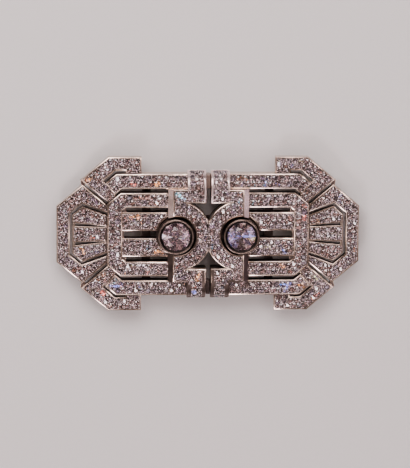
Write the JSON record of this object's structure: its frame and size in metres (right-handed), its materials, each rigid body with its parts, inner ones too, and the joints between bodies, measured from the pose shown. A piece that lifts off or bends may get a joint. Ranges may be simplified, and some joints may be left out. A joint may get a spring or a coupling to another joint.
{
  "type": "plaque brooch",
  "caption": "Stepped openwork plaque brooch: mirrored octagonal halves with fan ends, raised strap plates and large round stones in collets, on a back frame with a pin.",
  "frame": {"origin": "On the surface that the brooch lies on, under the middle of its outline.", "axes": "+X along the length from left half to right half, +Y up the face as worn, +Z out of the face."},
  "size_m": [0.07, 0.036, 0.0102],
  "materials": {
    "openwork_platinum": "pierced and stepped openwork, millegrain-soft rims, softly worn polish",
    "plate_platinum": "polished rims and sloping polished side",
    "collet_platinum": "bright polished bezel",
    "back_platinum": "plain satin back",
    "diamond": "clear, facet-cut, bright"
  },
  "bodies": {
    "root": {"openwork_left": "openwork_platinum", "openwork_right": "openwork_platinum", "strap_plate_left": "plate_platinum", "strap_plate_right": "plate_platinum", "collet_left": "collet_platinum", "collet_right": "collet_platinum", "centre_stone_left": "diamond", "centre_stone_right": "diamond", "back_frame": "back_platinum", "pin": "back_platinum"}
  },
  "joints": []
}
